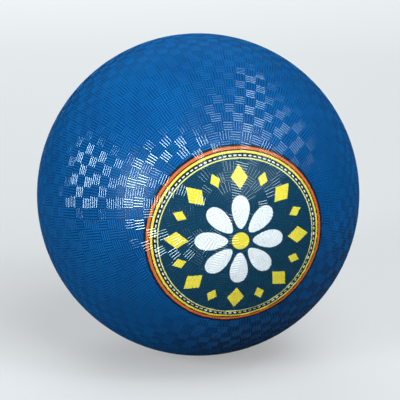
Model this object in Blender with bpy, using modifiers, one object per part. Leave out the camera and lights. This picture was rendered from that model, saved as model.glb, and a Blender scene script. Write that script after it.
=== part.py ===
"""Playground ball: an inflated two-ply rubber ball, 216 mm across, with its valve.

The ball's centre is the origin. The printed side faces -Y, the valve is at +Y and +Z is up.
Every piece is turned about the valve axis. A profile is drawn in the piece's own XZ plane, with
its Z along the valve axis, and the finished piece is laid over so that its Z points along +Y.
Angles along a profile are polar angles, measured at the ball's centre from the valve axis.
"""
import math

import bpy

# Driving dimensions, in metres
BALL_DIAMETER = 0.216
COVER_WALL = 0.0016
BLADDER_WALL = 0.0007
FIT_GAP = 0.0003

# The raised line that the two halves of the mould leave round the middle of the cover
MOULD_LINE_HEIGHT = 0.00025
MOULD_LINE_HALF_WIDTH = 0.0006

# The raised ring on the cover that marks the valve
VALVE_RING_DIAMETER = 0.0190
VALVE_RING_WIDTH = 0.0013
VALVE_RING_HEIGHT = 0.0004

# The rubber valve housing
VALVE_NECK_DIAMETER = 0.0120
VALVE_FACE_STEP = 0.0003
VALVE_EDGE_CHAMFER = 0.0003
VALVE_FLANGE_DIAMETER = 0.0320
VALVE_FLANGE_THICKNESS = 0.0012
VALVE_STEM_DIAMETER = 0.0126
VALVE_STEM_TAPER = 0.0012
VALVE_END_WALL = 0.0015
VALVE_THROAT_DIAMETER = 0.0020

# The disc that bonds the housing's flange to the inside of the bladder
PATCH_MARGIN = 0.0060
PATCH_THICKNESS = 0.0008

# The self-sealing plug that the pump's needle goes through
PLUG_LENGTH = 0.0165
PLUG_HEAD_DIAMETER = 0.0066
PLUG_HEAD_THICKNESS = 0.0014
PLUG_HEAD_CHAMFER = 0.0003
PLUG_SHANK_DIAMETER = 0.0046
PLUG_TIP_LENGTH = 0.0015
PLUG_TIP_DIAMETER = 0.0034
NEEDLE_HOLE_DIAMETER = 0.0009
NEEDLE_CONE_DIAMETER = 0.0024
NEEDLE_CONE_DEPTH = 0.0011

# Fineness of the turned shapes
BALL_SEGMENTS = 48
VALVE_SEGMENTS = 36
PLUG_SEGMENTS = 24
RING_STEP = math.radians(7.5)
LEAST_STEP = RING_STEP / 4
MERGE_DISTANCE = 0.00001
SHARP_ANGLE = math.radians(35)

# Radii of the layers, from the outside in
COVER_OUTER = BALL_DIAMETER / 2
COVER_INNER = COVER_OUTER - COVER_WALL
BLADDER_OUTER = COVER_INNER - FIT_GAP
BLADDER_INNER = BLADDER_OUTER - BLADDER_WALL
FLANGE_OUTER = BLADDER_INNER - FIT_GAP
FLANGE_INNER = FLANGE_OUTER - VALVE_FLANGE_THICKNESS
PATCH_CENTRE_OUTER = FLANGE_INNER - FIT_GAP

# Radii about the valve axis
NECK_RADIUS = VALVE_NECK_DIAMETER / 2
HOLE_RADIUS = NECK_RADIUS + FIT_GAP
FLANGE_RADIUS = VALVE_FLANGE_DIAMETER / 2
STEM_RADIUS = VALVE_STEM_DIAMETER / 2
PATCH_STEP_RADIUS = FLANGE_RADIUS + FIT_GAP
PATCH_RADIUS = FLANGE_RADIUS + PATCH_MARGIN
VALVE_FACE_HEIGHT = COVER_OUTER + VALVE_FACE_STEP


def polar_angle(axis_distance, radius):
    """Polar angle at which a sphere is this far from the valve axis, on the valve's side."""
    return math.asin(axis_distance / radius)


def seam_angle(radius, offset):
    """Polar angle at which a sphere is this far above the plane where the cover halves meet."""
    return math.acos(offset / radius)


def sphere_point(radius, angle):
    """Profile point on a sphere about the ball's centre."""
    return (radius * math.sin(angle), radius * math.cos(angle))


def layer_angles(start, end):
    """Polar angles that every layer shares between two ends, so that their facets stay parallel."""
    marks = [polar_angle(FLANGE_RADIUS, FLANGE_OUTER), polar_angle(PATCH_RADIUS, FLANGE_OUTER)]
    steps = [i * RING_STEP for i in range(1, round(math.pi / RING_STEP))]
    kept = marks + [s for s in steps if all(abs(s - m) > LEAST_STEP for m in marks)]
    return sorted(a for a in kept if start + LEAST_STEP / 2 < a < end - LEAST_STEP / 2)


def sphere_arc(radius, start, end):
    """Profile points on a sphere from one polar angle to another, either way round."""
    low, high = min(start, end), max(start, end)
    angles = [low] + layer_angles(low, high) + [high]
    if start > end:
        angles.reverse()
    return [sphere_point(radius, a) for a in angles]


def rubber(name, colour, roughness):
    """A rubber material."""
    material = bpy.data.materials.new(name)
    material.use_nodes = True
    shader = material.node_tree.nodes["Principled BSDF"]
    shader.inputs["Base Color"].default_value = (*colour, 1.0)
    shader.inputs["Roughness"].default_value = roughness
    shader.inputs["Metallic"].default_value = 0.0
    material.diffuse_color = (*colour, 1.0)
    return material


def turned(name, profile, segments, material, collection, closed=True, height=0.0):
    """Turn a profile about the valve axis; height is where the piece's own origin lies on it."""
    mesh = bpy.data.meshes.new(name + "_profile")
    edges = [(i, i + 1) for i in range(len(profile) - 1)]
    if closed:
        edges.append((len(profile) - 1, 0))
    mesh.from_pydata([(x, 0.0, z) for x, z in profile], edges, [])
    piece = bpy.data.objects.new(name, mesh)
    collection.objects.link(piece)

    screw = piece.modifiers.new("turn", "SCREW")
    screw.axis = "Z"
    screw.angle = 2 * math.pi
    screw.steps = segments
    screw.render_steps = segments
    screw.use_merge_vertices = True
    screw.merge_threshold = MERGE_DISTANCE
    weld = piece.modifiers.new("close_poles", "WELD")
    weld.merge_threshold = MERGE_DISTANCE

    evaluated = piece.evaluated_get(bpy.context.evaluated_depsgraph_get())
    solid = bpy.data.meshes.new_from_object(evaluated)
    piece.modifiers.clear()
    piece.data = solid
    bpy.data.meshes.remove(mesh)
    solid.name = name
    solid.shade_smooth()
    solid.set_sharp_from_angle(angle=SHARP_ANGLE)
    solid.materials.append(material)
    piece.location = (0.0, height, 0.0)
    piece.rotation_euler = (-math.pi / 2, 0.0, 0.0)
    return piece


def cover_front_half(material, collection):
    """The half of the outer cover that carries the print, from the mould line to the front."""
    inner_seam = seam_angle(COVER_INNER, -FIT_GAP / 2)
    line_crest = seam_angle(COVER_OUTER + MOULD_LINE_HEIGHT, -FIT_GAP / 2)
    line_foot = seam_angle(COVER_OUTER, -FIT_GAP / 2 - MOULD_LINE_HALF_WIDTH)
    profile = sphere_arc(COVER_INNER, math.pi, inner_seam)
    profile.append(sphere_point(COVER_OUTER + MOULD_LINE_HEIGHT, line_crest))
    profile += sphere_arc(COVER_OUTER, line_foot, math.pi)
    return turned("cover_front_half", profile, BALL_SEGMENTS, material, collection, closed=False)


def valve_ring_points():
    """The raised ring round the valve, as points of the back cover's outer side."""
    middle = VALVE_RING_DIAMETER / 2
    foot_in = polar_angle(middle - VALVE_RING_WIDTH, COVER_OUTER)
    crest_in = polar_angle(middle - VALVE_RING_WIDTH / 2, COVER_OUTER)
    crest_out = polar_angle(middle + VALVE_RING_WIDTH / 2, COVER_OUTER)
    foot_out = polar_angle(middle + VALVE_RING_WIDTH, COVER_OUTER)
    crest = COVER_OUTER + VALVE_RING_HEIGHT
    points = [sphere_point(COVER_OUTER, foot_in), sphere_point(crest, crest_in)]
    points += [sphere_point(crest, crest_out)]
    return points, foot_out


def cover_back_half(material, collection):
    """The half of the outer cover with the valve's hole and the ring that marks it."""
    hole_outer = polar_angle(HOLE_RADIUS, COVER_OUTER)
    hole_inner = polar_angle(HOLE_RADIUS, COVER_INNER)
    line_foot = seam_angle(COVER_OUTER, FIT_GAP / 2 + MOULD_LINE_HALF_WIDTH)
    line_crest = seam_angle(COVER_OUTER + MOULD_LINE_HEIGHT, FIT_GAP / 2)
    inner_seam = seam_angle(COVER_INNER, FIT_GAP / 2)
    ring, ring_foot = valve_ring_points()
    profile = [sphere_point(COVER_OUTER, hole_outer)] + ring
    profile += sphere_arc(COVER_OUTER, ring_foot, line_foot)
    profile.append(sphere_point(COVER_OUTER + MOULD_LINE_HEIGHT, line_crest))
    profile += sphere_arc(COVER_INNER, inner_seam, hole_inner)
    return turned("cover_back_half", profile, BALL_SEGMENTS, material, collection)


def bladder(material, collection):
    """The airtight inner ball, open where the valve's neck passes through it."""
    hole_outer = polar_angle(HOLE_RADIUS, BLADDER_OUTER)
    hole_inner = polar_angle(HOLE_RADIUS, BLADDER_INNER)
    profile = sphere_arc(BLADDER_INNER, math.pi, hole_inner)
    profile += sphere_arc(BLADDER_OUTER, hole_outer, math.pi)
    return turned("bladder", profile, BALL_SEGMENTS, material, collection, closed=False)


def valve_housing(material, collection):
    """The moulded valve body: a neck through both layers, a flange and a stem with the plug's bore."""
    head_radius = PLUG_HEAD_DIAMETER / 2 + FIT_GAP
    bore_radius = PLUG_SHANK_DIAMETER / 2 + FIT_GAP
    throat_radius = VALVE_THROAT_DIAMETER / 2
    seat_height = VALVE_FACE_HEIGHT - PLUG_HEAD_THICKNESS - FIT_GAP
    floor_height = VALVE_FACE_HEIGHT - PLUG_LENGTH - FIT_GAP
    end_height = floor_height - VALVE_END_WALL
    flange_edge = polar_angle(FLANGE_RADIUS, FLANGE_OUTER)
    neck_foot = polar_angle(NECK_RADIUS, FLANGE_OUTER)
    stem_root = polar_angle(STEM_RADIUS, FLANGE_INNER)

    profile = [(head_radius, VALVE_FACE_HEIGHT)]
    profile.append((NECK_RADIUS - VALVE_EDGE_CHAMFER, VALVE_FACE_HEIGHT))
    profile.append((NECK_RADIUS, VALVE_FACE_HEIGHT - VALVE_EDGE_CHAMFER))
    profile += sphere_arc(FLANGE_OUTER, neck_foot, flange_edge)
    profile += sphere_arc(FLANGE_INNER, flange_edge, stem_root)
    profile.append((STEM_RADIUS, end_height + VALVE_STEM_TAPER))
    profile.append((STEM_RADIUS - VALVE_STEM_TAPER, end_height))
    profile.append((throat_radius, end_height))
    profile.append((throat_radius, floor_height))
    profile.append((bore_radius, floor_height))
    profile.append((bore_radius, seat_height))
    profile.append((head_radius, seat_height))
    return turned("valve_housing", profile, VALVE_SEGMENTS, material, collection)


def valve_patch(material, collection):
    """The disc that laps over the housing's flange onto the bladder and holds the two together."""
    hole = STEM_RADIUS + FIT_GAP
    inner_radius = PATCH_CENTRE_OUTER - PATCH_THICKNESS
    margin_inner_radius = FLANGE_OUTER - PATCH_THICKNESS
    outer_step = polar_angle(PATCH_STEP_RADIUS, FLANGE_OUTER)
    outer_edge = polar_angle(PATCH_RADIUS, FLANGE_OUTER)
    inner_step = PATCH_STEP_RADIUS + PATCH_THICKNESS

    profile = [sphere_point(PATCH_CENTRE_OUTER, polar_angle(hole, PATCH_CENTRE_OUTER))]
    profile.append(sphere_point(PATCH_CENTRE_OUTER, outer_step))
    profile.append(sphere_point(FLANGE_OUTER, outer_step))
    profile.append(sphere_point(FLANGE_OUTER, outer_edge))
    profile.append(sphere_point(margin_inner_radius, outer_edge))
    profile.append(sphere_point(margin_inner_radius, polar_angle(inner_step, margin_inner_radius)))
    profile.append(sphere_point(inner_radius, polar_angle(inner_step, inner_radius)))
    profile.append(sphere_point(inner_radius, polar_angle(hole, inner_radius)))
    return turned("valve_patch", profile, VALVE_SEGMENTS, material, collection)


def valve_plug(material, collection):
    """The plug pressed into the housing, with a cone that leads the needle into its fine hole."""
    head_radius = PLUG_HEAD_DIAMETER / 2
    shank_radius = PLUG_SHANK_DIAMETER / 2
    needle_radius = NEEDLE_HOLE_DIAMETER / 2
    profile = [(NEEDLE_CONE_DIAMETER / 2, 0.0)]
    profile.append((head_radius - PLUG_HEAD_CHAMFER, 0.0))
    profile.append((head_radius, -PLUG_HEAD_CHAMFER))
    profile.append((head_radius, -PLUG_HEAD_THICKNESS))
    profile.append((shank_radius, -PLUG_HEAD_THICKNESS))
    profile.append((shank_radius, PLUG_TIP_LENGTH - PLUG_LENGTH))
    profile.append((PLUG_TIP_DIAMETER / 2, -PLUG_LENGTH))
    profile.append((needle_radius, -PLUG_LENGTH))
    profile.append((needle_radius, -NEEDLE_CONE_DEPTH))
    return turned("valve_plug", profile, PLUG_SEGMENTS, material, collection,
                  height=VALVE_FACE_HEIGHT)


def main():
    """Clear the scene and build the ball."""
    for item in list(bpy.data.objects):
        bpy.data.objects.remove(item)
    collection = bpy.data.collections.new("playground_ball")
    bpy.context.scene.collection.children.link(collection)

    cover_rubber = rubber("blue_cover_rubber", (0.003, 0.112, 0.402), 0.42)
    bladder_rubber = rubber("black_bladder_rubber", (0.018, 0.018, 0.020), 0.55)
    valve_rubber = rubber("black_valve_rubber", (0.012, 0.012, 0.013), 0.50)
    plug_rubber = rubber("grey_plug_rubber", (0.060, 0.062, 0.066), 0.60)

    centre = bpy.data.objects.new("ball_centre", None)
    collection.objects.link(centre)
    pieces = [
        cover_front_half(cover_rubber, collection),
        cover_back_half(cover_rubber, collection),
        bladder(bladder_rubber, collection),
        valve_housing(valve_rubber, collection),
        valve_patch(bladder_rubber, collection),
        valve_plug(plug_rubber, collection),
    ]
    for piece in pieces:
        piece.parent = centre


main()
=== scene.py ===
# %% [markdown]
# # A playground ball, moulded in rubber
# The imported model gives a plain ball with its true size: two halves of a cover, a bladder, and a
# valve with its patch and plug. This lesson dresses it. The cover gets the basketweave of fine ribs
# that gives grip, the round printed badge, and rubber that catches the light. The plain model comes
# in first, because every new piece rides on one of its bodies.

# %% Load the plain model
import math
from functools import partial

import bpy
from mathutils import Matrix, Vector


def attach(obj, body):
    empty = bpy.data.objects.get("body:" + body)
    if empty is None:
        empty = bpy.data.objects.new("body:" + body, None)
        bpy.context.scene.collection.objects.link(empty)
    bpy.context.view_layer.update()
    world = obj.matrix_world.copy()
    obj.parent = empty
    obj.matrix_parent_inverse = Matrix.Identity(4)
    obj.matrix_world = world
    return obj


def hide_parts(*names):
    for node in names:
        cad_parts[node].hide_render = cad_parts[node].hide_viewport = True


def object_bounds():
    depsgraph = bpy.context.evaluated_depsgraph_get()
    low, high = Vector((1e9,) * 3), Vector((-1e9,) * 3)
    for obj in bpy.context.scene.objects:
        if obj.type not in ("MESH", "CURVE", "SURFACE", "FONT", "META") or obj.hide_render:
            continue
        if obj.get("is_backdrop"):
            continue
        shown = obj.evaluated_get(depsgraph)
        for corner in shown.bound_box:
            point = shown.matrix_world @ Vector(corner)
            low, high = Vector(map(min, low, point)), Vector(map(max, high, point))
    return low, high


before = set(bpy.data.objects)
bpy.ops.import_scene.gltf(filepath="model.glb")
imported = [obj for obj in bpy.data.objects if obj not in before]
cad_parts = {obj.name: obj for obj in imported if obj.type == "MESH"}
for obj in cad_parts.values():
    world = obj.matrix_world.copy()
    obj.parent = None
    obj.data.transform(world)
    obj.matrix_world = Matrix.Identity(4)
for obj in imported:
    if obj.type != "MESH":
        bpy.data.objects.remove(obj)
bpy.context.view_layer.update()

# %% [markdown]
# ## Where the camera stands
# The picture is taken from far off with a long lens, a little above the ball and to its left, and
# held with a slight lean. The camera's own right, up and back directions are worked out and put
# into a matrix, where a lean is easier to follow than in three angles. A step of a few millimetres
# sideways and down then sets the ball in its place in the picture.

# %% Camera
VIEW_AZIMUTH = math.radians(-14.95)
VIEW_ELEVATION = math.radians(16.09)
VIEW_LEAN = math.radians(1.6)
VIEW_DISTANCE = 1.883
PIXELS_PER_RADIAN = 2800.0
PICTURE_WIDTH = 400.0
PICTURE_MIDDLE = 199.5
BALL_IN_PICTURE = (197.7, 194.0)


def added(name, data):
    """Puts a new object into the scene."""
    thing = bpy.data.objects.new(name, data)
    bpy.context.scene.collection.objects.link(thing)
    return thing


camera_data = bpy.data.cameras.new("camera")
camera_data.sensor_width = 36.0
camera_data.lens = camera_data.sensor_width * PIXELS_PER_RADIAN / PICTURE_WIDTH
camera = added("camera", camera_data)
bpy.context.scene.camera = camera


def direction(azimuth, elevation):
    """The direction from the ball's centre to a point at this azimuth and elevation."""
    across = math.cos(elevation)
    return Vector((math.sin(azimuth) * across, -math.cos(azimuth) * across, math.sin(elevation)))


back = direction(VIEW_AZIMUTH, VIEW_ELEVATION)
level = Vector((math.cos(VIEW_AZIMUTH), math.sin(VIEW_AZIMUTH), 0.0))
upright = back.cross(level)
right = level * math.cos(VIEW_LEAN) + upright * math.sin(VIEW_LEAN)
up = upright * math.cos(VIEW_LEAN) - level * math.sin(VIEW_LEAN)

metres_per_pixel = VIEW_DISTANCE / PIXELS_PER_RADIAN
sideways = (PICTURE_MIDDLE - BALL_IN_PICTURE[0]) * metres_per_pixel
lowered = (PICTURE_MIDDLE - BALL_IN_PICTURE[1]) * metres_per_pixel
place = back * VIEW_DISTANCE + right * sideways - up * lowered
camera.matrix_world = Matrix.Translation(place) @ Matrix((right, up, back)).transposed().to_4x4()
print("lens %.0f mm, camera at" % camera_data.lens, [round(c, 3) for c in place])

# %% [markdown]
# ## Small helpers for node trees
# The world's light, the shapes and the colours are all made of nodes. A node is added, set up and
# joined to others in one go, so that the code reads in the order in which the values flow. The
# same maths nodes work in every kind of tree.

# %% Node helpers
def feed(tree, socket, value):
    """Joins another node's output to this input, or sets the input's own value."""
    if isinstance(value, bpy.types.NodeSocket):
        tree.links.new(value, socket)
    else:
        socket.default_value = value


def add_node(tree, kind, settings=None, inputs=None):
    """Adds a node, sets its options, and feeds its inputs by name or by number."""
    node = tree.nodes.new(kind)
    for name, value in (settings or {}).items():
        setattr(node, name, value)
    for name, value in (inputs or {}).items():
        feed(tree, node.inputs[name], value)
    return node


def maths(tree, operation, *values):
    """One step of arithmetic on numbers."""
    node = add_node(tree, "ShaderNodeMath", {"operation": operation}, dict(enumerate(values)))
    return node.outputs[0]


def vector_maths(tree, operation, *values):
    """One step of arithmetic on vectors."""
    node = add_node(tree, "ShaderNodeVectorMath", {"operation": operation}, dict(enumerate(values)))
    return node.outputs["Value" if operation in ("DOT_PRODUCT", "LENGTH") else "Vector"]


def stretched(tree, vector, factor):
    """A vector made longer or shorter by a factor."""
    settings = {"operation": "SCALE"}
    node = add_node(tree, "ShaderNodeVectorMath", settings, {"Vector": vector, "Scale": factor})
    return node.outputs["Vector"]


def vector_of(tree, x, y, z):
    """A vector from three numbers."""
    return add_node(tree, "ShaderNodeCombineXYZ", None, {"X": x, "Y": y, "Z": z}).outputs[0]


def part_of(tree, vector, axis):
    """One coordinate of a vector."""
    return add_node(tree, "ShaderNodeSeparateXYZ", None, {0: vector}).outputs[axis]


def ranged(tree, value, low, high, new_low=0.0, new_high=1.0):
    """A value carried over from one range to another, and held within it."""
    inputs = {"Value": value, "From Min": low, "From Max": high, "To Min": new_low, "To Max": new_high}
    return add_node(tree, "ShaderNodeMapRange", {"clamp": True}, inputs).outputs[0]


# The two inputs and the output that a mix has for each kind of value
MIX_SOCKETS = {"FLOAT": (2, 3, 0), "VECTOR": (4, 5, 1), "RGBA": (6, 7, 2)}


def mixed(tree, share, under, over, kind="RGBA"):
    """One colour laid over another, or one vector or number brought towards another."""
    first, second, output = MIX_SOCKETS[kind]
    inputs = {0: share, first: under, second: over}
    return add_node(tree, "ShaderNodeMix", {"data_type": kind}, inputs).outputs[output]


# %% [markdown]
# ## The light
# Glossy rubber shows its ribs only where it mirrors a lamp. A rib is round across and straight
# along, so it shines where the direction halfway between lamp and camera lies square to it. Ribs
# that point to the middle of the weave shine on one curve and ribs across them on another, which
# makes a chequerboard of bright and dark cells. A tall window on the left, a small one high on the
# right and a broad, faint one between them do that here. The blue itself is lit by a ceiling and by
# the room behind the ball, both kept out of reflections, so that they add no haze. The world is a
# dim sky that fades towards the ground, and only the camera sees a pale backdrop in its place.

# %% Soft boxes and world
LAMP_DISTANCE = 1.6
LAMP_COLOUR = (0.90, 0.97, 1.0)

# Azimuth and elevation in degrees, width and height in metres, watts, and whether the ribs mirror it
LAMPS = {
    "left_window": (-60.0, 15.0, 0.40, 0.80, 19.0, True),
    "front_window": (20.0, 25.0, 0.80, 0.60, 7.0, True),
    "top_window": (36.0, 50.0, 0.30, 0.30, 3.2, True),
    "ceiling": (20.0, 58.0, 1.20, 1.20, 17.0, False),
    "room_behind": (175.0, 30.0, 1.20, 0.90, 14.0, False),
}


def soft_box(name, azimuth, elevation, width, height, power, mirrored):
    """A rectangular lamp that faces the ball from this direction."""
    lamp_data = bpy.data.lights.new(name, "AREA")
    lamp_data.shape = "RECTANGLE"
    lamp_data.size = width
    lamp_data.size_y = height
    lamp_data.energy = power
    lamp_data.color = LAMP_COLOUR
    lamp = added(name, lamp_data)
    toward = direction(math.radians(azimuth), math.radians(elevation))
    lamp.location = toward * LAMP_DISTANCE
    lamp.rotation_euler = toward.to_track_quat("Z", "Y").to_euler()
    lamp.visible_glossy = mirrored
    print(name, "at", [round(c, 2) for c in lamp.location], "m,", power, "W")


for name, settings in LAMPS.items():
    soft_box(name, *settings)

SKY_BLUE = (0.60, 0.84, 1.0, 1.0)
BACKDROP_WHITE = (0.86, 0.87, 0.88, 1.0)
DIMMEST_LOOK = -0.25
BRIGHTEST_LOOK = 0.55
LEAST_SKY = 0.01
MOST_SKY = 0.10

world = bpy.data.worlds.new("studio")
bpy.context.scene.world = world
world.use_nodes = True
sky_tree = world.node_tree
look = sky_tree.nodes.new("ShaderNodeTexCoord").outputs["Generated"]
skyward = part_of(sky_tree, look, "Z")
brightness = add_node(sky_tree, "ShaderNodeMapRange", {"interpolation_type": "SMOOTHSTEP"},
                      {"Value": skyward, "From Min": DIMMEST_LOOK, "From Max": BRIGHTEST_LOOK,
                       "To Min": LEAST_SKY, "To Max": MOST_SKY}).outputs[0]
seen = sky_tree.nodes.new("ShaderNodeLightPath").outputs["Is Camera Ray"]
sky = sky_tree.nodes["Background"]
feed(sky_tree, sky.inputs["Color"], mixed(sky_tree, seen, SKY_BLUE, BACKDROP_WHITE))
feed(sky_tree, sky.inputs["Strength"], maths(sky_tree, "MAXIMUM", brightness, seen))
bpy.context.scene.view_settings.view_transform = "Standard"

# %% [markdown]
# A piece that follows a rule is grown by a Geometry Nodes tree. The tree gets named inputs, which
# are set on a modifier, and its result is kept as a plain mesh, with nothing left to work out
# later.

# %% Helpers for geometry trees
def new_shape_tree(name, inputs):
    """A Geometry Nodes tree with named inputs, and its two end nodes."""
    tree = bpy.data.node_groups.new(name, "GeometryNodeTree")
    tree.interface.new_socket("Geometry", in_out="INPUT", socket_type="NodeSocketGeometry")
    for label, kind in inputs.items():
        tree.interface.new_socket(label, in_out="INPUT", socket_type="NodeSocket" + kind)
    tree.interface.new_socket("Geometry", in_out="OUTPUT", socket_type="NodeSocketGeometry")
    return tree, tree.nodes.new("NodeGroupInput").outputs, tree.nodes.new("NodeGroupOutput").inputs


def smoothed(tree, geometry, limit):
    """Shades a shape smooth, except at edges that bend by more than this angle."""
    smooth = add_node(tree, "GeometryNodeSetShadeSmooth", {"domain": "FACE"}, {"Geometry": geometry})
    bend = tree.nodes.new("GeometryNodeInputMeshEdgeAngle").outputs["Unsigned Angle"]
    is_corner = maths(tree, "GREATER_THAN", bend, limit)
    inputs = {"Geometry": smooth.outputs[0], "Selection": is_corner, "Shade Smooth": False}
    return add_node(tree, "GeometryNodeSetShadeSmooth", {"domain": "EDGE"}, inputs).outputs[0]


def grown(name, tree, mesh, values):
    """Runs a tree on a mesh and keeps the result as a plain mesh object with no modifier."""
    piece = added(name, mesh)
    modifier = piece.modifiers.new(tree.name, "NODES")
    modifier.node_group = tree
    for item in tree.interface.items_tree:
        if item.item_type == "SOCKET" and item.in_out == "INPUT" and item.name in values:
            modifier[item.identifier] = values[item.name]
    piece.update_tag()
    evaluated = piece.evaluated_get(bpy.context.evaluated_depsgraph_get())
    shape = bpy.data.meshes.new_from_object(evaluated)
    piece.modifiers.clear()
    piece.data = shape
    shape.name = name
    bpy.data.meshes.remove(mesh)
    shape.calc_loop_triangles()
    print(name + ":", len(shape.loop_triangles), "triangles")
    return piece


# %% [markdown]
# ## Turning a profile
# The cover, the valve and its plug are all round about one axis, through the printed side and the
# valve. A small tree turns them all: it takes a profile's points, lays a grid with a row for each
# of them and a column for each step of the turn, and moves every grid point to its place round the
# axis. Merging the points that meet closes the seam and the poles.

# %% The turning tree
MERGE_DISTANCE = 0.000002
SHARP_ANGLE = math.radians(38)


def make_turning_tree():
    """Turns the points of a profile, given as distance and height, about the valve axis."""
    inputs = {"Segments": "Int", "Closed": "Int", "Sharp Angle": "Float", "Material": "Material"}
    tree, given, result = new_shape_tree("turned_profile", inputs)
    size = add_node(tree, "GeometryNodeAttributeDomainSize", None, {"Geometry": given["Geometry"]})
    points = size.outputs["Point Count"]
    rows = maths(tree, "ADD", points, given["Closed"])
    columns = maths(tree, "ADD", given["Segments"], 1.0)
    grid = add_node(tree, "GeometryNodeMeshGrid", None, {"Vertices X": columns, "Vertices Y": rows})
    index = tree.nodes.new("GeometryNodeInputIndex").outputs[0]
    column = maths(tree, "FLOOR", maths(tree, "DIVIDE", maths(tree, "ADD", index, 0.5), rows))
    row = maths(tree, "SUBTRACT", index, maths(tree, "MULTIPLY", column, rows))
    source = maths(tree, "MODULO", row, points)

    position = tree.nodes.new("GeometryNodeInputPosition").outputs[0]
    sample = add_node(tree, "GeometryNodeSampleIndex", {"data_type": "FLOAT_VECTOR", "domain": "POINT"},
                      {"Geometry": given["Geometry"], "Value": position, "Index": source})
    distance = part_of(tree, sample.outputs[0], "X")
    height = part_of(tree, sample.outputs[0], "Y")
    turn = maths(tree, "DIVIDE", maths(tree, "MULTIPLY", column, 2 * math.pi), given["Segments"])
    x = maths(tree, "MULTIPLY", distance, maths(tree, "COSINE", turn))
    z = maths(tree, "MULTIPLY", distance, maths(tree, "SINE", turn))
    place_round_axis = vector_of(tree, x, height, z)
    moved = add_node(tree, "GeometryNodeSetPosition", None,
                     {"Geometry": grid.outputs["Mesh"], "Position": place_round_axis})

    closed = add_node(tree, "GeometryNodeMergeByDistance", None,
                      {"Geometry": moved.outputs[0], "Distance": MERGE_DISTANCE})
    smooth = smoothed(tree, closed.outputs[0], given["Sharp Angle"])
    finish = add_node(tree, "GeometryNodeSetMaterial", None,
                      {"Geometry": smooth, "Material": given["Material"]})
    feed(tree, result["Geometry"], finish.outputs[0])
    return tree


turning_tree = make_turning_tree()


def turned(name, profile, segments, material, closed=True):
    """A piece turned from (distance from the axis, height along it) points, in metres."""
    mesh = bpy.data.meshes.new(name + "_profile")
    mesh.from_pydata([(distance, height, 0.0) for distance, height in profile], [], [])
    values = {"Segments": segments, "Closed": int(closed), "Sharp Angle": SHARP_ANGLE,
              "Material": material}
    return grown(name, turning_tree, mesh, values)


# %% [markdown]
# ## The blue rubber and its print
# The cover is dyed right through, a strong blue with a semi-gloss skin. The badge is a thin ink
# that was pressed onto the ribs, so it follows them and is a touch thinner in the grooves. The
# print is drawn with arithmetic on two numbers: how far a point lies from the middle of the badge,
# as an angle at the ball's centre, and in which direction. Object coordinates give both, so skin
# and ribs share one drawing without a seam.

# %% Where a point lies on the badge
BALL_RADIUS = 0.108
RIB_HEIGHT = 0.00024


def badge_polar(tree, point):
    """The angle from the badge's middle in degrees, and the direction round it in radians."""
    x, y, z = (part_of(tree, point, axis) for axis in "XYZ")
    from_axis = vector_maths(tree, "LENGTH", vector_of(tree, x, 0.0, z))
    outward = maths(tree, "ARCTAN2", from_axis, maths(tree, "MULTIPLY", y, -1.0))
    return maths(tree, "DEGREES", outward), maths(tree, "ARCTAN2", x, z)


def within(tree, value, limit, softness):
    """1 where value is below limit and 0 above it, with a soft step."""
    return ranged(tree, value, limit + softness, limit - softness)


# %% [markdown]
# ## The border of the badge
# From the outside in, the border is a dark edge, an orange band, a dark line, a yellow band, a dark
# band with a ring of a hundred white dashes like stitching, and a thin pale line round the teal
# middle. Each band is a step in the angle, laid over the one outside it.

# %% Bands and dashes
INK_DARK = (0.006, 0.012, 0.022, 1.0)
INK_TEAL = (0.0050, 0.046, 0.088, 1.0)
INK_ORANGE = (0.76, 0.165, 0.022, 1.0)
INK_YELLOW = (0.92, 0.78, 0.060, 1.0)
INK_PALE = (0.80, 0.84, 0.25, 1.0)
INK_WHITE = (0.86, 0.90, 0.92, 1.0)
INK_EDGE = 0.05

BORDER_BANDS = (
    (33.35, INK_DARK),
    (32.45, INK_ORANGE),
    (31.48, INK_DARK),
    (31.02, INK_YELLOW),
    (30.22, INK_DARK),
    (28.60, INK_PALE),
    (28.18, INK_TEAL),
)
DASH_BAND = (29.10, 29.56)
DASH_COUNT = 100
DASH_SHARE = 0.58
DASH_EDGE = 0.04


def border(tree, colour, outward, around):
    """Lays the border's bands and its ring of dashes over a colour."""
    for limit, ink in BORDER_BANDS:
        colour = mixed(tree, within(tree, outward, limit, INK_EDGE), colour, ink)
    turns = maths(tree, "FRACT", maths(tree, "MULTIPLY", around, DASH_COUNT / (2 * math.pi)))
    off_middle = maths(tree, "ABSOLUTE", maths(tree, "SUBTRACT", turns, 0.5))
    dash = within(tree, off_middle, DASH_SHARE / 2, DASH_EDGE)
    low, high = DASH_BAND
    off_ring = maths(tree, "ABSOLUTE", maths(tree, "SUBTRACT", outward, (low + high) / 2))
    ring = within(tree, off_ring, (high - low) / 2, INK_EDGE)
    return mixed(tree, maths(tree, "MULTIPLY", dash, ring), colour, INK_WHITE)


# %% [markdown]
# ## The middle of the badge
# The middle holds a plain ornament: a white rosette of eight petals with a yellow heart, inside a
# ring of yellow lozenges, large and small by turns. All of them repeat round the badge, so it is
# enough to fold the direction back into one of eight sectors and draw one petal and one lozenge of
# each size.

# %% Rosette and lozenges
SECTOR = 2 * math.pi / 8
PETAL_FROM = 4.2
PETAL_TO = 15.6
PETAL_HALF_WIDTH = 3.0
PETAL_SWELL = 0.35
HEART_RADIUS = 2.9

# Middle, half length and half width of a lozenge, in degrees
LARGE_LOZENGE = (22.0, 4.3, 3.0)
SMALL_LOZENGE = (22.4, 2.6, 1.8)


def folded(tree, around, start):
    """The direction round the badge, folded into one of its equal sectors, in radians."""
    shifted = maths(tree, "DIVIDE", maths(tree, "SUBTRACT", around, start), SECTOR)
    nearest = maths(tree, "ROUND", shifted)
    return maths(tree, "MULTIPLY", maths(tree, "SUBTRACT", shifted, nearest), SECTOR)


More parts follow.
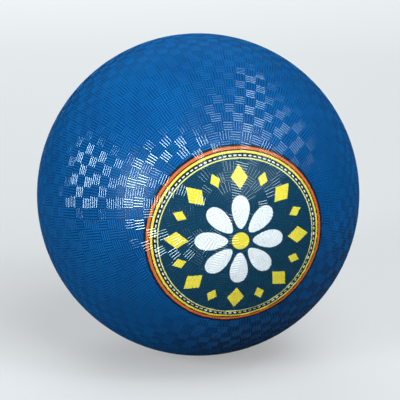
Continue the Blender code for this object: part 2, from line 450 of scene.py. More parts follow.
def sideways_on_badge(tree, outward, turn):
    """How far a direction lies from its sector's middle line, in degrees at the ball's centre."""
    from_axis = maths(tree, "SINE", maths(tree, "RADIANS", outward))
    return maths(tree, "MULTIPLY", turn, maths(tree, "DEGREES", from_axis))


def lozenge(tree, outward, around, start, middle, half_length, half_width):
    """1 inside a ring of lozenges that point outwards."""
    turn = folded(tree, around, start)
    across = maths(tree, "ABSOLUTE", sideways_on_badge(tree, outward, turn))
    across = maths(tree, "DIVIDE", across, half_width)
    along = maths(tree, "ABSOLUTE", maths(tree, "SUBTRACT", outward, middle))
    along = maths(tree, "DIVIDE", along, half_length)
    reach = maths(tree, "ADD", across, along)
    return within(tree, reach, 1.0, INK_EDGE / half_width)


def petal(tree, outward, around):
    """1 inside a ring of petals, each widest in its outer half."""
    turn = folded(tree, around, 0.0)
    across = maths(tree, "DIVIDE", sideways_on_badge(tree, outward, turn), PETAL_HALF_WIDTH)
    along = maths(tree, "SUBTRACT", outward, (PETAL_FROM + PETAL_TO) / 2)
    along = maths(tree, "DIVIDE", along, (PETAL_TO - PETAL_FROM) / 2)
    swell = maths(tree, "ADD", 1.0, maths(tree, "MULTIPLY", along, PETAL_SWELL))
    across = maths(tree, "DIVIDE", across, swell)
    reach = maths(tree, "ADD", maths(tree, "MULTIPLY", across, across),
                  maths(tree, "MULTIPLY", along, along))
    return within(tree, reach, 1.0, 2 * INK_EDGE / PETAL_HALF_WIDTH)


def ornament(tree, colour, outward, around):
    """Lays the lozenges and the rosette over the teal disc."""
    large = lozenge(tree, outward, around, 0.0, *LARGE_LOZENGE)
    small = lozenge(tree, outward, around, SECTOR / 2, *SMALL_LOZENGE)
    colour = mixed(tree, maths(tree, "MAXIMUM", large, small), colour, INK_YELLOW)
    colour = mixed(tree, petal(tree, outward, around), colour, INK_WHITE)
    return mixed(tree, within(tree, outward, HEART_RADIUS, INK_EDGE), colour, INK_YELLOW)


# %% [markdown]
# ## The rubber itself
# Clouds of lighter and darker blue run through the rubber, and its skin has a fine grain. The ribs
# are polished by the mould and by hands, and the skin between them is duller, so they get two
# materials that share one drawing of the colours. How high a point stands above the ball tells the
# top of a rib from its foot, where the blue is darker with painted shade and a little dust, except
# on the smooth disc round the valve.
# The inks get a little painted glow, so the badge stays bright on the dark underside.

# %% Cover materials
BLUE_DEEP = (0.0010, 0.120, 0.390, 1.0)
BLUE_BRIGHT = (0.0014, 0.162, 0.495, 1.0)
# Painted shade, with a little dust: the darker blue of the grooves and the ribs' feet
BLUE_GROOVE_SHADE_AND_DUST = (0.0004, 0.047, 0.175, 1.0)
SHEEN_TINT = (0.75, 0.94, 1.0, 1.0)
SMOOTH_DISC_ANGLE = math.radians(7.4)
SMOOTH_DISC_SHARE = 0.65
SMOOTH_DISC_EDGE = 0.0001
PRINT_WANDER = 0.9
# Painted glow of the inks, which keeps the badge bright on the dark underside
PAINTED_INK_GLOW = 0.20
NO_GLOW = (0.0, 0.0, 0.0, 1.0)
GROOVE_INK = 0.86
LEAST_INK = 0.55

# Cycles per metre, detail, and roughness of the detail, of each pattern
CLOUDS = (32.0, 4.0)
WANDER = (24.0, 1.0)
SPECKS = (900.0, 2.0)
GRAIN = (1400.0, 3.0, 0.6)
GRAIN_DEPTH = 0.0002

# The part of each pattern's values that is spread from dark to bright
CLOUD_RANGE = (0.32, 0.68)
SPECK_RANGE = (0.25, 0.40)
GRAIN_RANGE = (0.3, 0.7)

# How far up a rib the painted shade and dust at its foot reach, and its foot's thinner ink, in metres
SHADE_AND_DUST_REACH = 0.7 * RIB_HEIGHT
INK_REACH = 0.5 * RIB_HEIGHT


def noise(tree, point, scale, detail, roughness=0.5):
    """A cloudy pattern whose scale is in cycles per metre."""
    node = add_node(tree, "ShaderNodeTexNoise", None,
                    {"Vector": point, "Scale": scale, "Detail": detail, "Roughness": roughness})
    return node.outputs[0]


def new_material(name):
    """A material with its tree, its shader, and the point on the piece."""
    material = bpy.data.materials.new(name)
    material.use_nodes = True
    tree = material.node_tree
    point = tree.nodes.new("ShaderNodeTexCoord").outputs["Object"]
    return material, tree, tree.nodes["Principled BSDF"], point


def roughened(tree, shader, strength, depth, relief):
    """Gives the surface a fine relief of this depth in metres."""
    bump = add_node(tree, "ShaderNodeBump", None,
                    {"Strength": strength, "Distance": depth, "Height": relief})
    feed(tree, shader.inputs["Normal"], bump.outputs[0])


def printed_blue(tree, point, height):
    """The blue with painted shade at the ribs' feet, the badge facing -Y, and the inks' painted glow."""
    # Painted shade, with a little dust, darkens the blue towards each rib's foot
    top = ranged(tree, height, 0.0, SHADE_AND_DUST_REACH)
    toward_valve = part_of(tree, point, "Y")
    disc_edge = BALL_RADIUS * math.cos(SMOOTH_DISC_ANGLE)
    smooth_disc = ranged(tree, toward_valve, disc_edge - SMOOTH_DISC_EDGE,
                         disc_edge + SMOOTH_DISC_EDGE, 0.0, SMOOTH_DISC_SHARE)
    top = maths(tree, "MAXIMUM", top, smooth_disc)
    clouds = ranged(tree, noise(tree, point, *CLOUDS), *CLOUD_RANGE)
    blue = mixed(tree, clouds, BLUE_DEEP, BLUE_BRIGHT)
    rubber = mixed(tree, top, BLUE_GROOVE_SHADE_AND_DUST, blue)

    outward, around = badge_polar(tree, point)
    wander = maths(tree, "SUBTRACT", noise(tree, point, *WANDER), 0.5)
    outward = maths(tree, "ADD", outward, maths(tree, "MULTIPLY", wander, PRINT_WANDER))
    printed = ornament(tree, border(tree, rubber, outward, around), outward, around)
    speck = ranged(tree, noise(tree, point, *SPECKS), *SPECK_RANGE, LEAST_INK)
    ink_cover = ranged(tree, height, 0.0, INK_REACH, GROOVE_INK)
    ink_cover = maths(tree, "MULTIPLY", ink_cover, speck)
    # The painted glow lies on the badge only
    on_badge = within(tree, outward, BORDER_BANDS[0][0], INK_EDGE)
    glow = mixed(tree, on_badge, NO_GLOW, printed)
    return mixed(tree, ink_cover, rubber, printed), glow


def make_cover_rubber(name, reflection, refraction, gloss_low, gloss_high, grain_strength):
    """Blue moulded rubber with its own gloss; a low roughness means a high polish."""
    material, tree, shader, point = new_material(name)
    height = maths(tree, "SUBTRACT", vector_maths(tree, "LENGTH", point), BALL_RADIUS)
    colour, glow = printed_blue(tree, point, height)
    feed(tree, shader.inputs["Base Color"], colour)
    # The inks' painted glow
    feed(tree, shader.inputs["Emission Color"], glow)
    shader.inputs["Emission Strength"].default_value = PAINTED_INK_GLOW

    grain = noise(tree, point, *GRAIN)
    roughness = ranged(tree, grain, *GRAIN_RANGE, gloss_low, gloss_high)
    feed(tree, shader.inputs["Roughness"], roughness)
    shader.inputs["Specular IOR Level"].default_value = reflection
    shader.inputs["IOR"].default_value = refraction
    shader.inputs["Specular Tint"].default_value = SHEEN_TINT
    roughened(tree, shader, grain_strength, GRAIN_DEPTH, grain)
    print(name, "has", len(tree.nodes), "nodes")
    return material


skin_rubber = make_cover_rubber("blue_skin_rubber", reflection=0.25, refraction=1.5,
                                gloss_low=0.26, gloss_high=0.33, grain_strength=0.12)
rib_rubber = make_cover_rubber("blue_rib_rubber", reflection=1.0, refraction=1.7,
                               gloss_low=0.11, gloss_high=0.15, grain_strength=0.02)

# %% [markdown]
# ## The two halves of the cover
# The cover is moulded in two halves that are fused along a low raised line, with a raised ring
# round the valve at the back. Both are turned from their profiles in steps of about two degrees,
# fine enough for a round outline, and keep the wall and the inner side of the real cover.

# %% Cover halves
COVER_WALL = 0.0016
HALF_JOINT = 0.00001
MOULD_LINE_HEIGHT = 0.00025
MOULD_LINE_HALF_WIDTH = 0.0006
SHOULDER_SHARE = 0.72
COVER_SEGMENTS = 160

# Steps and ends of the profiles' arcs, in degrees from the valve axis
OUTER_STEP = 2.0
FIRST_STEP = 1.0
INNER_STEP = 6.0
INNER_EQUATOR = 0.01
INNER_HOLE = 9.0


def on_sphere(radius, degrees):
    """A profile point at this angle from the valve axis."""
    return radius * math.sin(math.radians(degrees)), radius * math.cos(math.radians(degrees))


def arc(radius, start, end, step):
    """Profile points on a sphere from one angle to another, both included."""
    count = max(1, round(abs(end - start) / step))
    return [on_sphere(radius, start + (end - start) * i / count) for i in range(count + 1)]


def mould_line(side):
    """The raised line's points on one half, from its crest to its foot; side is +1 at the back."""
    crest = BALL_RADIUS + MOULD_LINE_HEIGHT
    shoulder = BALL_RADIUS + SHOULDER_SHARE * MOULD_LINE_HEIGHT
    return [
        (crest, side * HALF_JOINT),
        (shoulder, side * 0.5 * MOULD_LINE_HALF_WIDTH),
        (BALL_RADIUS, side * MOULD_LINE_HALF_WIDTH),
    ]


inner_radius = BALL_RADIUS - COVER_WALL
line_foot = math.degrees(MOULD_LINE_HALF_WIDTH / BALL_RADIUS)
front_profile = arc(inner_radius, 180.0, 90.0 + INNER_EQUATOR, INNER_STEP)
front_profile += mould_line(-1)
front_profile += arc(BALL_RADIUS, 90.0 + line_foot + FIRST_STEP, 180.0, OUTER_STEP)
cover_front = turned("cover_front_skin", front_profile, COVER_SEGMENTS, skin_rubber, closed=False)

# %% [markdown]
# The back half has a hole for the valve's neck. The ring round it is drawn with a rounded top, so
# that it catches the light as a moulded bead does.

# %% Back half
VALVE_HOLE_RADIUS = 0.0063
VALVE_RING_RADIUS = 0.0095
VALVE_RING_HALF_WIDTH = 0.0013
VALVE_RING_HEIGHT = 0.0004
BEAD_STEPS = 8


def at_distance(radius, distance):
    """The angle at which a sphere lies this far from the valve axis, in degrees."""
    return math.degrees(math.asin(distance / radius))


def bead(distance, half_width, height):
    """Profile points across a rounded bead on the cover, from its inner foot to its outer foot."""
    points = []
    for i in range(BEAD_STEPS + 1):
        across = -1.0 + 2.0 * i / BEAD_STEPS
        lift = height * math.sqrt(max(0.0, 1.0 - across * across))
        angle = at_distance(BALL_RADIUS, distance + across * half_width)
        points.append(on_sphere(BALL_RADIUS + lift, angle))
    return points


hole_edge = at_distance(BALL_RADIUS, VALVE_HOLE_RADIUS)
ring_foot = at_distance(BALL_RADIUS, VALVE_RING_RADIUS + VALVE_RING_HALF_WIDTH)
back_profile = [on_sphere(inner_radius, at_distance(inner_radius, VALVE_HOLE_RADIUS))]
back_profile += [on_sphere(BALL_RADIUS, hole_edge)]
back_profile += bead(VALVE_RING_RADIUS, VALVE_RING_HALF_WIDTH, VALVE_RING_HEIGHT)
back_profile += arc(BALL_RADIUS, ring_foot + FIRST_STEP, 90.0 - line_foot - FIRST_STEP, OUTER_STEP)
back_profile += mould_line(1)[::-1]
back_profile += arc(inner_radius, 90.0 - INNER_EQUATOR, INNER_HOLE, INNER_STEP)
cover_back = turned("cover_back_skin", back_profile, COVER_SEGMENTS, skin_rubber)

# %% [markdown]
# ## The basketweave
# The grip is a weave of small square cells, about 6.8 mm across. Each cell holds four parallel
# ribs, and the next cell holds four the other way, as in a basket. On a ball such a weave is laid
# in rings about a pole. Every ring is as wide as a cell and holds about as many cells as fit, in
# multiples of ten. An even number lets the two directions alternate all the way round, and steps of
# ten let the cells of neighbouring rings line up in some places and slip past each other in
# between, so the chequerboard comes and goes.
#
# There are thousands of ribs, which is work for Geometry Nodes: make one point for each ring, copy
# it once for each rib, work out from the copy's number where the rib goes and which way it points,
# and put one small bar on every point. One list gives the tree's inputs their usual values, lengths
# in metres and angles in radians, and the kind of each value tells the kind of its input.

# %% Rings of the weave
WEAVE_VALUES = {
    "Radius": BALL_RADIUS,
    "Pole Turn": Vector(),
    "First Angle": 0.0,
    "Ring Angle": math.radians(3.56),
    "Rings": 1,
    "Cells at Equator": 97.0,
    "Sectors": 5.0,
    "Start Direction": math.radians(57),
    "Ribs per Cell": 4,
    "Rib Width": 0.00098,
    "Rib Height": RIB_HEIGHT,
    "Gap": 0.00035,
    "Side": 1.0,
    "Line Margin": 0.0011,
    "Shortest Rib": 0.0008,
    "Unevenness": 0.16,
    "Seed": 7,
    "Material": rib_rubber,
}
KINDS = {float: "Float", int: "Int", Vector: "Vector", bpy.types.Material: "Material"}
weave_inputs = {label: KINDS[type(value)] for label, value in WEAVE_VALUES.items()}
weave_tree, given, result = new_shape_tree("basketweave", weave_inputs)


def shaped(kind, inputs, settings=None):
    """The result of one geometry node in the weave's tree."""
    return add_node(weave_tree, "GeometryNode" + kind, settings, inputs).outputs[0]


def stored(geometry, name, value):
    """Keeps a number on every point of the weave under a name."""
    inputs = {"Geometry": geometry, "Name": name, "Value": value}
    return shaped("StoreNamedAttribute", inputs, {"data_type": "FLOAT", "domain": "POINT"})


def named(name):
    """Reads a number that was kept on the points."""
    return shaped("InputNamedAttribute", {"Name": name}, {"data_type": "FLOAT"})


def worked(operation, *values):
    """One step of arithmetic in the weave's tree."""
    return maths(weave_tree, operation, *values)


times = partial(worked, "MULTIPLY")
plus = partial(worked, "ADD")
minus = partial(worked, "SUBTRACT")

ring_points = shaped("Points", {"Count": given["Rings"]})
ring_number = shaped("InputIndex", {})
ring_middle = times(plus(ring_number, 0.5), given["Ring Angle"])
ring_middle = plus(ring_middle, given["First Angle"])
fitting = times(worked("SINE", ring_middle), given["Cells at Equator"])
step = times(given["Sectors"], 2.0)
cells = times(worked("ROUND", worked("DIVIDE", fitting, step)), step)
cells = worked("MAXIMUM", cells, step)
rings = stored(ring_points, "ring_number", ring_number)
rings = stored(rings, "ring_middle", ring_middle)
rings = stored(rings, "cells", cells)

# %% [markdown]
# Copying a ring's point gives each copy a number. Divided by four it is the cell, and what is left
# over is the rib within the cell. A cell whose number and ring number add up to an even number
# has ribs that run from the pole outwards, and the others have ribs that run round it. In the
# first ring, round the bare spot, all of them run round.

# %% Cells and ribs
rib_count = times(named("cells"), given["Ribs per Cell"])
copies = add_node(weave_tree, "GeometryNodeDuplicateElements", {"domain": "POINT"},
                  {"Geometry": rings, "Amount": rib_count})
copy_number = copies.outputs["Duplicate Index"]
cell_number = worked("DIVIDE", plus(copy_number, 0.5), given["Ribs per Cell"])
cell_number = worked("FLOOR", cell_number)
rib_number = minus(copy_number, times(cell_number, given["Ribs per Cell"]))
rib_offset = worked("DIVIDE", plus(rib_number, 0.5), given["Ribs per Cell"])
rib_offset = minus(rib_offset, 0.5)
runs_round = plus(cell_number, named("ring_number"))
runs_round = worked("FLOORED_MODULO", runs_round, 2.0)
first_ring = worked("LESS_THAN", named("ring_number"), 0.5)
runs_round = worked("MAXIMUM", runs_round, first_ring)
ribs = stored(copies.outputs["Geometry"], "cell_number", cell_number)
ribs = stored(ribs, "rib_offset", rib_offset)
ribs = stored(ribs, "runs_round", runs_round)

# %% [markdown]
# Now the angles. A rib that runs round the pole is shifted towards or away from it by its place in
# the cell, and a rib that runs outwards is shifted round it instead. The sine and cosine of the two
# angles give the point on the ball and the two directions that lie along its surface there.

# %% Place and direction of a rib
cell_turn = worked("DIVIDE", 2 * math.pi, named("cells"))
outward_shift = times(named("rib_offset"), given["Ring Angle"])
outward_shift = times(outward_shift, named("runs_round"))
polar = plus(named("ring_middle"), outward_shift)
runs_outward = minus(1.0, named("runs_round"))
round_shift = times(named("rib_offset"), runs_outward)
turn = times(plus(named("cell_number"), round_shift), cell_turn)
turn = plus(turn, given["Start Direction"])

polar_sine, polar_cosine = worked("SINE", polar), worked("COSINE", polar)
turn_sine, turn_cosine = worked("SINE", turn), worked("COSINE", turn)
outward = vector_of(weave_tree, times(polar_sine, turn_cosine), times(polar_sine, turn_sine),
                    polar_cosine)
along_meridian = vector_of(weave_tree, times(polar_cosine, turn_cosine),
                           times(polar_cosine, turn_sine), times(polar_sine, -1.0))
along_ring = vector_of(weave_tree, times(turn_sine, -1.0), turn_cosine, 0.0)
along = mixed(weave_tree, named("runs_round"), along_meridian, along_ring, "VECTOR")

pole_turn = add_node(weave_tree, "FunctionNodeEulerToRotation", None,
                     {"Euler": given["Pole Turn"]}).outputs[0]
outward = add_node(weave_tree, "FunctionNodeRotateVector", None,
                   {"Vector": outward, "Rotation": pole_turn}).outputs[0]
along = add_node(weave_tree, "FunctionNodeRotateVector", None,
                 {"Vector": along, "Rotation": pole_turn}).outputs[0]

# %% [markdown]
# The weave's rings don't lie parallel to the mould line, so the line cuts through some cells, as
# the edge of the real mould does. A rib that crosses it is shortened to end just before the line,
# and one that would be too short is left out.

# %% Stop at the mould line
NUDGE = 0.00001
LEAST_SLOPE = 0.0001

cell_length = times(given["Radius"], given["Ring Angle"])
ring_radius = times(given["Radius"], polar_sine)
cell_width = times(ring_radius, cell_turn)
full_length = mixed(weave_tree, named("runs_round"), cell_length, cell_width, "FLOAT")
half_length = times(minus(full_length, given["Gap"]), 0.5)

beside = times(part_of(weave_tree, outward, "Y"), given["Radius"])
beside = times(beside, given["Side"])
slope = times(part_of(weave_tree, along, "Y"), given["Side"])
way = worked("SIGN", plus(slope, NUDGE))
steepness = worked("MAXIMUM", worked("ABSOLUTE", slope), LEAST_SLOPE)
limit = worked("DIVIDE", minus(given["Line Margin"], beside), steepness)
near_end = worked("MAXIMUM", limit, times(half_length, -1.0))
rib_length = minus(half_length, near_end)
slide = times(plus(half_length, near_end), 0.5)
slide = times(slide, way)

# %% [markdown]
# What goes on each point is a bar with six sides, as long as its rib. The two lowest of its six
# corners are pushed outwards and down, so that upright walls stand sunk in the cover and carry a
# low crest: a flat top between two slopes. The crest is shaded as one round surface, and walls and
# ends stay sharp. A little unevenness in height keeps the highlights from being too perfect. At the
# end the copies become real geometry and get their material.

# %% Bars
BAR_LENGTH = 0.001
LOW_CORNER = -0.1
FOOT_SPREAD = (2.0, 1.0, 1.4)
CREST_SHARE = 0.6
WALL_BEND = math.radians(45)

centre_now = stretched(weave_tree, outward, given["Radius"])
centre_now = vector_maths(weave_tree, "ADD", centre_now, stretched(weave_tree, along, slide))
normal = vector_maths(weave_tree, "NORMALIZE", centre_now)
surface_point = stretched(weave_tree, normal, given["Radius"])
placed = shaped("SetPosition", {"Geometry": ribs, "Position": surface_point})

bar = shaped("MeshCylinder", {"Vertices": 6, "Side Segments": 1, "Radius": 1.0, "Depth": 1.0},
             {"fill_type": "NGON"})
bar = shaped("Transform", {"Geometry": bar, "Rotation": (math.radians(90), 0.0, 0.0),
                           "Scale": (1.0, 1.0, BAR_LENGTH)})
corner = shaped("InputPosition", {})
is_low = worked("LESS_THAN", part_of(weave_tree, corner, "Z"), LOW_CORNER)
pushed_out = vector_maths(weave_tree, "MULTIPLY", corner, FOOT_SPREAD)
bar = shaped("SetPosition", {"Geometry": bar, "Selection": is_low, "Position": pushed_out})
half_width = times(given["Rib Width"], 0.5)
crest_scale = times(given["Rib Height"], CREST_SHARE * 2 / math.sqrt(3))
wall_height = times(given["Rib Height"], 1.0 - CREST_SHARE)
bar = shaped("Transform", {"Geometry": bar,
                           "Translation": vector_of(weave_tree, 0.0, 0.0, wall_height),
                           "Scale": vector_of(weave_tree, half_width, 1.0, crest_scale)})
bar = smoothed(weave_tree, bar, WALL_BEND)

facing = add_node(weave_tree, "FunctionNodeAxesToRotation",
                  {"primary_axis": "Y", "secondary_axis": "Z"},
                  {"Primary Axis": along, "Secondary Axis": normal}).outputs[0]
chance = add_node(weave_tree, "FunctionNodeRandomValue", {"data_type": "FLOAT"},
                  {"Seed": given["Seed"]}).outputs[1]
chance = times(minus(chance, 0.5), given["Unevenness"])
lengthening = times(rib_length, 1.0 / BAR_LENGTH)
bar_scale = vector_of(weave_tree, 1.0, lengthening, plus(1.0, chance))
long_enough = worked("GREATER_THAN", rib_length, given["Shortest Rib"])
on_points = shaped("InstanceOnPoints", {"Points": placed, "Selection": long_enough, "Instance": bar,
                                        "Rotation": facing, "Scale": bar_scale})
real = shaped("RealizeInstances", {"Geometry": on_points})
coloured = shaped("SetMaterial", {"Geometry": real, "Material": given["Material"]})
feed(weave_tree, result["Geometry"], coloured)

# %% [markdown]
# ## Both halves of the weave
# At the front the weave's pole lies a little above and left of the badge's middle, and its rings
# start at a small bare spot. At the back the rings lie round the valve, outside a smooth disc. The
# tree is the same, with other numbers.

# %% Ribs on both halves
WEAVE_POLE_UP = math.radians(11.27)
WEAVE_POLE_LEFT = math.radians(2.96)
BARE_SPOT_ANGLE = math.radians(2.0)


def pole_turn_of(pole):
    """The turn that carries Z to a pole, with X on the upward side, as three angles."""
    z_axis = Vector((0.0, 0.0, 1.0))
    x_axis = (z_axis - pole * pole.dot(z_axis)).normalized()
    y_axis = pole.cross(x_axis)
    return Matrix((x_axis, y_axis, pole)).transposed().to_euler("XYZ")


def weave(name, **changes):
    """One half's ribs as a plain mesh, with its own values for some of the inputs."""
    values = dict(WEAVE_VALUES)
    for label, value in changes.items():
        values[label.replace("_", " ").title()] = value
    return grown(name, weave_tree, bpy.data.meshes.new(name + "_start"), values)


front_pole = direction(-WEAVE_POLE_LEFT, WEAVE_POLE_UP)
front_ribs = weave("cover_front_ribs", pole_turn=pole_turn_of(front_pole),
                   first_angle=BARE_SPOT_ANGLE, rings=29, side=-1.0)
back_pole = Vector((0.0, 1.0, 0.0))
back_ribs = weave("cover_back_ribs", pole_turn=pole_turn_of(back_pole),
                  first_angle=SMOOTH_DISC_ANGLE, rings=23, side=1.0)

# %% [markdown]
# ## The valve and its plug
# Only the valve's round face shows, flush with the cover inside the raised ring: black rubber, with
# the head of a grey plug in its middle and a fine hole for the pump's needle. Moulded rubber has no
# knife edges, so every corner of an outline is bent into a short curve before it is turned. The
# flange and the stem are inside the ball and keep the plain model's sizes.

# %% Rounded outlines
VALVE_FACE_HEIGHT = BALL_RADIUS + 0.0003
LEAST_CORNER = math.radians(20)
CORNER_STEPS = 4
LARGEST_CUT = 0.45


def rounded(outline, cut):
    """A closed outline with each corner bent into a curve that starts and ends this far from it."""
    curved = []
    for i, point in enumerate(outline):
        corner = Vector(point)
        before = Vector(outline[i - 1]) - corner
        after = Vector(outline[(i + 1) % len(outline)]) - corner
        if before.angle(-after) < LEAST_CORNER:
            curved.append(corner)
            continue
        start = corner + before * min(LARGEST_CUT, cut / before.length)
        end = corner + after * min(LARGEST_CUT, cut / after.length)
        for j in range(CORNER_STEPS + 1):
            share = j / CORNER_STEPS
            curved.append(start.lerp(corner, share).lerp(corner.lerp(end, share), share))
    return [tuple(point) for point in curved]


# %% [markdown]
# The housing's outline runs over the face, down the neck, over the flange and down the stem, and
# comes back up through the plug's bore. The bore's mouth is rounded too, so a fine shadow shows
# round the plug's head.

# %% Valve housing
VALVE_NECK_RADIUS = 0.0060
VALVE_EDGE_CHAMFER = 0.0003
FLANGE_OUTER = 0.1051
FLANGE_INNER = 0.1039
FLANGE_RADIUS = 0.0160
STEM_RADIUS = 0.0063
STEM_TAPER = 0.0012
HEAD_SEAT_RADIUS = 0.0036
BORE_RADIUS = 0.0026
THROAT_RADIUS = 0.0010
SEAT_HEIGHT = VALVE_FACE_HEIGHT - 0.0017
BORE_FLOOR = VALVE_FACE_HEIGHT - 0.0168
STEM_END = BORE_FLOOR - 0.0015
VALVE_ROUNDING = 0.00035
VALVE_SEGMENTS = 64
FLANGE_STEPS = 4


def sphere_run(radius, start, end):
    """Outline points on a sphere, from one distance from the valve axis to another."""
    distances = [start + (end - start) * i / FLANGE_STEPS for i in range(FLANGE_STEPS + 1)]
    return [on_sphere(radius, at_distance(radius, distance)) for distance in distances]


housing_outline = [
    (HEAD_SEAT_RADIUS, VALVE_FACE_HEIGHT),
    (VALVE_NECK_RADIUS - VALVE_EDGE_CHAMFER, VALVE_FACE_HEIGHT),
    (VALVE_NECK_RADIUS, VALVE_FACE_HEIGHT - VALVE_EDGE_CHAMFER),
]
housing_outline += sphere_run(FLANGE_OUTER, VALVE_NECK_RADIUS, FLANGE_RADIUS)
housing_outline += sphere_run(FLANGE_INNER, FLANGE_RADIUS * FLANGE_INNER / FLANGE_OUTER, STEM_RADIUS)
housing_outline += [
    (STEM_RADIUS, STEM_END + STEM_TAPER),
    (STEM_RADIUS - STEM_TAPER, STEM_END),
    (THROAT_RADIUS, STEM_END),
    (THROAT_RADIUS, BORE_FLOOR),
    (BORE_RADIUS, BORE_FLOOR),
    (BORE_RADIUS, SEAT_HEIGHT),
    (HEAD_SEAT_RADIUS, SEAT_HEIGHT),
]

# %% [markdown]
# The plug has a flat head with a cone that leads the needle in. Round its shank run three low
# sealing ribs, which grip the bore. They stay just inside the bore's wall, so that the plug can
# slide out without touching it.

# %% Valve plug
PLUG_HEAD_RADIUS = 0.0033
PLUG_SHANK_RADIUS = 0.0023
PLUG_TIP_RADIUS = 0.0017
PLUG_LENGTH = 0.0165
PLUG_TAPER = 0.0015
HEAD_CHAMFER = 0.0003
HEAD_THICKNESS = 0.0014
CONE_RADIUS = 0.0012
CONE_DEPTH = 0.0011
NEEDLE_RADIUS = 0.00045
SEALING_RIB_DEPTHS = (0.005, 0.008, 0.011)
SEALING_RIB_RADIUS = PLUG_SHANK_RADIUS + 0.0002
SEALING_RIB_FOOT = 0.0005
SEALING_RIB_TOP = 0.0002
PLUG_ROUNDING = 0.0002
PLUG_SEGMENTS = 48

plug_outline = [
    (CONE_RADIUS, 0.0),
    (PLUG_HEAD_RADIUS - HEAD_CHAMFER, 0.0),
    (PLUG_HEAD_RADIUS, -HEAD_CHAMFER),
    (PLUG_HEAD_RADIUS, -HEAD_THICKNESS),
    (PLUG_SHANK_RADIUS, -HEAD_THICKNESS),
]
for depth in SEALING_RIB_DEPTHS:
    plug_outline.append((PLUG_SHANK_RADIUS, -depth + SEALING_RIB_FOOT))
    plug_outline.append((SEALING_RIB_RADIUS, -depth + SEALING_RIB_TOP))
    plug_outline.append((SEALING_RIB_RADIUS, -depth - SEALING_RIB_TOP))
    plug_outline.append((PLUG_SHANK_RADIUS, -depth - SEALING_RIB_FOOT))
plug_outline += [
    (PLUG_SHANK_RADIUS, PLUG_TAPER - PLUG_LENGTH),
    (PLUG_TIP_RADIUS, -PLUG_LENGTH),
    (NEEDLE_RADIUS, -PLUG_LENGTH),
    (NEEDLE_RADIUS, -CONE_DEPTH),
]
plug_outline = [(distance, VALVE_FACE_HEIGHT + height) for distance, height in plug_outline]

# %% [markdown]
# ## The other rubbers
# The rubber of the valve is black, that of the plug grey, and the bladder and its patch are of
# black butyl, dusted with talc so that nothing sticks. All three get a pale bloom in clouds over a
# dark ground, each with its own size and strength. Turned pieces also show the fine rings that the
# cutter left in their mould.

# %% Rubber for the valve, the plug and the bladder
MARK_SPACING = 0.00045
MARK_STRENGTH = 0.25
MARK_DEPTH = 0.0001
PORES = (3000.0, 3.0, 0.6)
BLOOM_DETAIL = (5.0, 0.6)
BLOOM_FULL = 0.75


def make_inner_rubber(name, dark, pale, cloud_scale, bloom_from, gloss_low, gloss_high, ring_share):
    """Dark rubber with a pale bloom and fine rings about the valve axis."""
    material, tree, shader, point = new_material(name)
    bloom = noise(tree, point, cloud_scale, *BLOOM_DETAIL)
    bloom = ranged(tree, bloom, bloom_from, BLOOM_FULL)
    feed(tree, shader.inputs["Base Color"], mixed(tree, bloom, dark, pale))
    feed(tree, shader.inputs["Roughness"], ranged(tree, bloom, 0.0, 1.0, gloss_low, gloss_high))

    flat = vector_of(tree, part_of(tree, point, "X"), 0.0, part_of(tree, point, "Z"))
    phase = maths(tree, "MULTIPLY", vector_maths(tree, "LENGTH", flat), 2 * math.pi / MARK_SPACING)
    rings = maths(tree, "MULTIPLY", maths(tree, "SINE", phase), ring_share)
    relief = maths(tree, "ADD", rings, noise(tree, point, *PORES))
    roughened(tree, shader, MARK_STRENGTH, MARK_DEPTH, relief)
    return material


VALVE_BLACK = (0.010, 0.010, 0.011, 1.0)
VALVE_BLOOM = (0.030, 0.031, 0.033, 1.0)
PLUG_GREY = (0.050, 0.052, 0.056, 1.0)
PLUG_SPECK = (0.105, 0.108, 0.112, 1.0)
BUTYL_BLACK = (0.012, 0.012, 0.014, 1.0)
TALC = (0.120, 0.120, 0.118, 1.0)

valve_rubber = make_inner_rubber("black_valve_rubber", VALVE_BLACK, VALVE_BLOOM, cloud_scale=420.0,
                                 bloom_from=0.45, gloss_low=0.36, gloss_high=0.55, ring_share=0.5)
plug_rubber = make_inner_rubber("grey_plug_rubber", PLUG_GREY, PLUG_SPECK, cloud_scale=900.0,
                                bloom_from=0.40, gloss_low=0.48, gloss_high=0.66, ring_share=0.3)
bladder_rubber = make_inner_rubber("black_bladder_rubber", BUTYL_BLACK, TALC, cloud_scale=60.0,
                                   bloom_from=0.42, gloss_low=0.42, gloss_high=0.80, ring_share=0.0)

valve_body = turned("valve_body", rounded(housing_outline, VALVE_ROUNDING), VALVE_SEGMENTS, valve_rubber)
plug = turned("plug", rounded(plug_outline, PLUG_ROUNDING), PLUG_SEGMENTS, plug_rubber)

# %% [markdown]
# ## Tying the pieces to the model
# Every piece rides on the body that it moves with. Only the plug moves, and it slides out of the
# valve. The new pieces stand in for the plain model's own. The bladder and its patch, which no one
# sees, stay as they are, in dusted rubber.

# %% Tie the pieces to the model
def tied(piece, body, node=None):
    """Lets a piece ride on a body and take the place of one of the plain model's pieces."""
    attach(piece, body)
    if node:
        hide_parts(node)


tied(cover_front, "ball", "cover_front_half")
tied(cover_back, "ball", "cover_back_half")
tied(front_ribs, "ball")
tied(back_ribs, "ball")
tied(valve_body, "ball", "valve_housing")
tied(plug, "plug", "valve_plug")

for name in ("bladder", "valve_patch"):
    for material_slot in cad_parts[name].material_slots:
        material_slot.material = bladder_rubber
    print(name, "keeps its shape, in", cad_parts[name].material_slots[0].material.name)

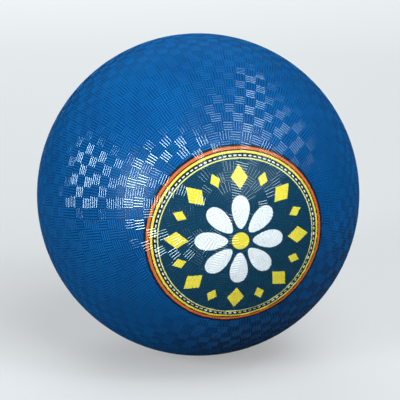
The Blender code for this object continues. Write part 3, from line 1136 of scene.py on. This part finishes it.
# %% [markdown]
# ## The floor
# The floor is a backdrop only. To the camera it is pale and carries the ball's shadow, but all
# other rays find it nearly black, because a pale floor would throw light onto the ball's underside,
# which is dark on the real one. Far from the lamps it glows a little, to the camera only, so that
# it meets the backdrop without a dark band.

# %% Floor
FLOOR_REACH = 8.0
LIT_REACH = 0.9
FLOOR_DARK = (0.04, 0.04, 0.04, 1.0)
FLOOR_PALE = (0.42, 0.42, 0.42, 1.0)
FLOOR_GLOW_NEAR = (0.34, 0.34, 0.34, 1.0)
FLOOR_GLOW_FAR = (0.78, 0.79, 0.80, 1.0)

look_low, look_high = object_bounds()
corners = ((-1, -1), (1, -1), (1, 1), (-1, 1))
floor_corners = [(x * FLOOR_REACH, y * FLOOR_REACH, look_low.z) for x, y in corners]
floor_mesh = bpy.data.meshes.new("floor")
floor_mesh.from_pydata(floor_corners, [], [(0, 1, 2, 3)])
floor = added("floor", floor_mesh)
floor_paint, floor_tree, floor_shader, floor_point = new_material("pale_floor")
floor_seen = floor_tree.nodes.new("ShaderNodeLightPath").outputs["Is Camera Ray"]
floor_colour = mixed(floor_tree, floor_seen, FLOOR_DARK, FLOOR_PALE)
feed(floor_tree, floor_shader.inputs["Base Color"], floor_colour)
far_away = vector_maths(floor_tree, "LENGTH", floor_point)
far_away = ranged(floor_tree, far_away, LIT_REACH, 3 * LIT_REACH)
own_glow = mixed(floor_tree, far_away, FLOOR_GLOW_NEAR, FLOOR_GLOW_FAR)
own_glow = mixed(floor_tree, floor_seen, NO_GLOW, own_glow)
feed(floor_tree, floor_shader.inputs["Emission Color"], own_glow)
floor_shader.inputs["Emission Strength"].default_value = 1.0
floor_shader.inputs["Roughness"].default_value = 0.9
floor_shader.inputs["Specular IOR Level"].default_value = 0.1
floor_mesh.materials.append(floor_paint)
floor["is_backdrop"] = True

# %% [markdown]
# ## The size at the end
# The size of the dressed ball is printed in millimetres. The ribs stand a fraction of a millimetre
# proud of the plain model.

# %% Write down the sizes and finish
look_low, look_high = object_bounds()
print("dressed model in mm:", [round(1000 * side, 2) for side in look_high - look_low])
